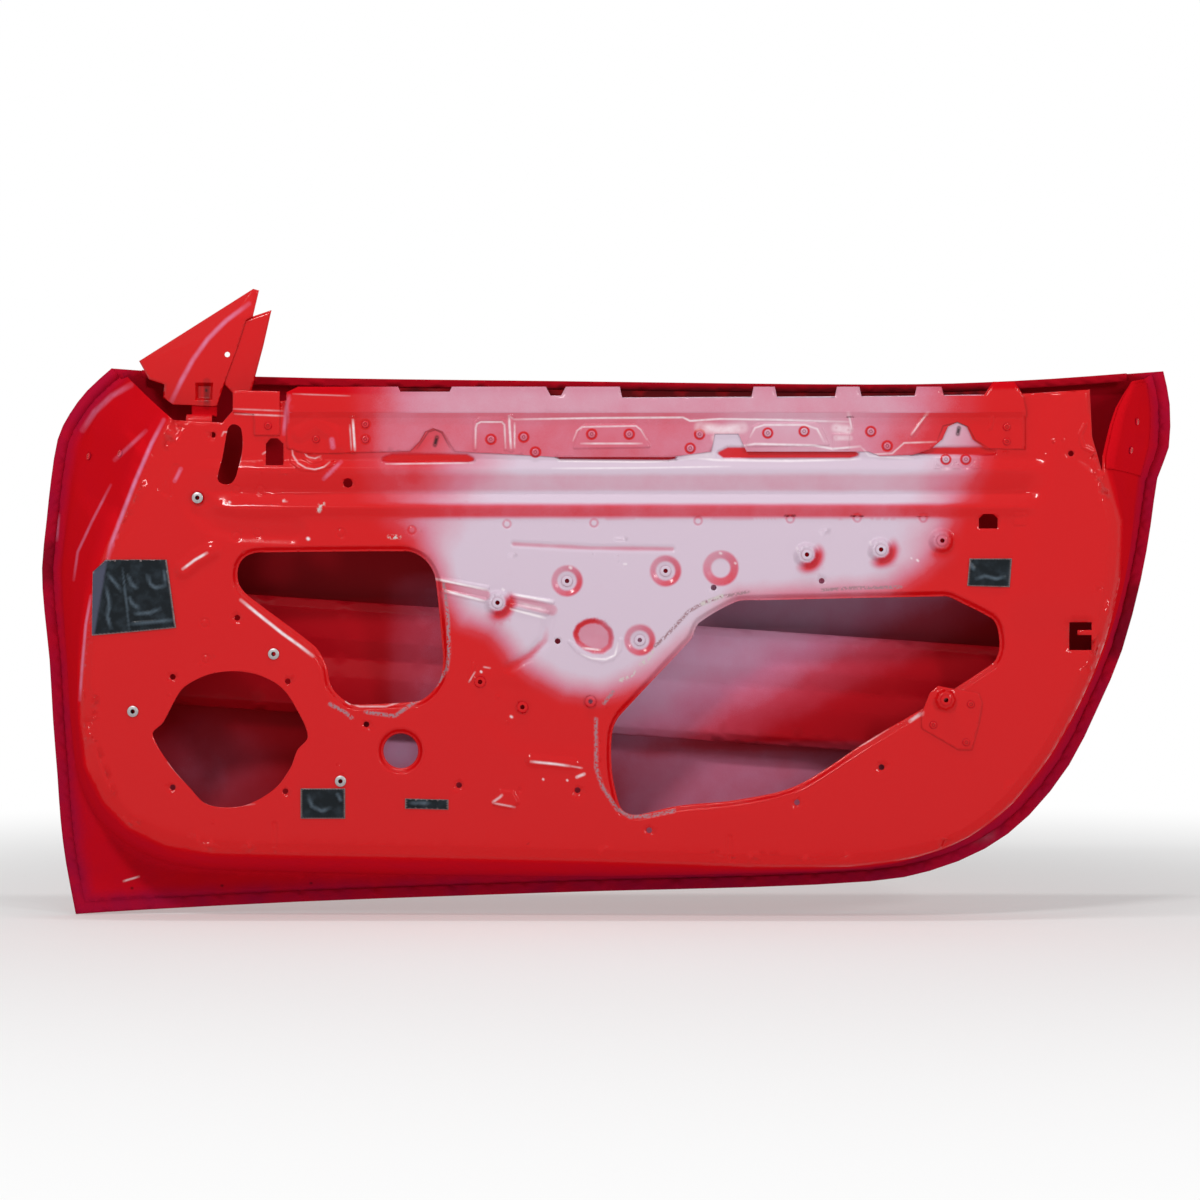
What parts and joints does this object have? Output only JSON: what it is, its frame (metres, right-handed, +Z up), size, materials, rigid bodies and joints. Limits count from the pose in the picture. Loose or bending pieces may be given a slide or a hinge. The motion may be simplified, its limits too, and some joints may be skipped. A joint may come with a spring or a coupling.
{
  "type": "car door shell",
  "caption": "Bare car door shell: pressed inner panel with access openings, outer skin, side beam, belt reinforcement and mirror corner.",
  "frame": {"origin": "a point on the lower hinge face, on the front wall's outer surface", "axes": "+X from the hinge end to the latch end, +Y from the inner side to the outer skin, +Z up as the door hangs"},
  "size_m": [1.322, 0.162, 0.7207],
  "materials": {
    "paint_red": "gloss",
    "primer_pale": "matte",
    "tape_black": "satin",
    "steel_bare": "satin"
  },
  "bodies": {
    "root": {"belt_front_bracket": "paint_red", "belt_rail_outer": "paint_red", "belt_reinforcement": "primer_pale", "belt_rivet_01": "paint_red", "belt_rivet_02": "paint_red", "belt_rivet_03": "paint_red", "belt_rivet_04": "paint_red", "belt_rivet_05": "paint_red", "belt_rivet_06": "paint_red", "belt_rivet_07": "paint_red", "belt_rivet_08": "paint_red", "belt_rivet_09": "paint_red", "belt_rivet_10": "paint_red", "belt_rivet_11": "paint_red", "belt_rivet_12": "paint_red", "belt_rivet_13": "paint_red", "belt_rivet_14": "paint_red", "belt_rivet_15": "paint_red", "belt_rivet_16": "paint_red", "bracket_rivet_01": "paint_red", "ear_rivet_01": "paint_red", "ear_rivet_02": "paint_red", "handle_nut": "steel_bare", "handle_rivet_01": "paint_red", "handle_rivet_02": "paint_red", "handle_rivet_03": "paint_red", "hinge_plate_lower": "paint_red", "hinge_plate_upper": "paint_red", "hinge_rivet_01": "paint_red", "hinge_rivet_02": "paint_red", "inner_panel": "paint_red", "intrusion_beam": "primer_pale", "latch_plate": "paint_red", "mirror_sail_foot": "paint_red", "mirror_sail_front": "paint_red", "mirror_sail_rear": "paint_red", "outer_skin": "paint_red", "panel_rivet_01": "paint_red", "panel_rivet_02": "paint_red", "pull_handle_bracket": "paint_red", "rear_corner_plate": "paint_red", "rivet_nut_01": "steel_bare", "rivet_nut_02": "steel_bare", "rivet_nut_03": "steel_bare", "rivet_nut_04": "steel_bare", "rivet_nut_05": "steel_bare", "rivet_nut_06": "steel_bare", "rivet_nut_07": "steel_bare", "rivet_nut_08": "steel_bare", "rivet_nut_09": "steel_bare", "rivet_nut_10": "steel_bare", "rivet_nut_11": "steel_bare", "rivet_nut_12": "steel_bare", "rivet_nut_13": "steel_bare", "rivet_nut_14": "steel_bare", "tape_hinge": "tape_black", "tape_lower": "tape_black", "tape_rear": "tape_black", "tape_slot": "tape_black"}
  },
  "joints": []
}
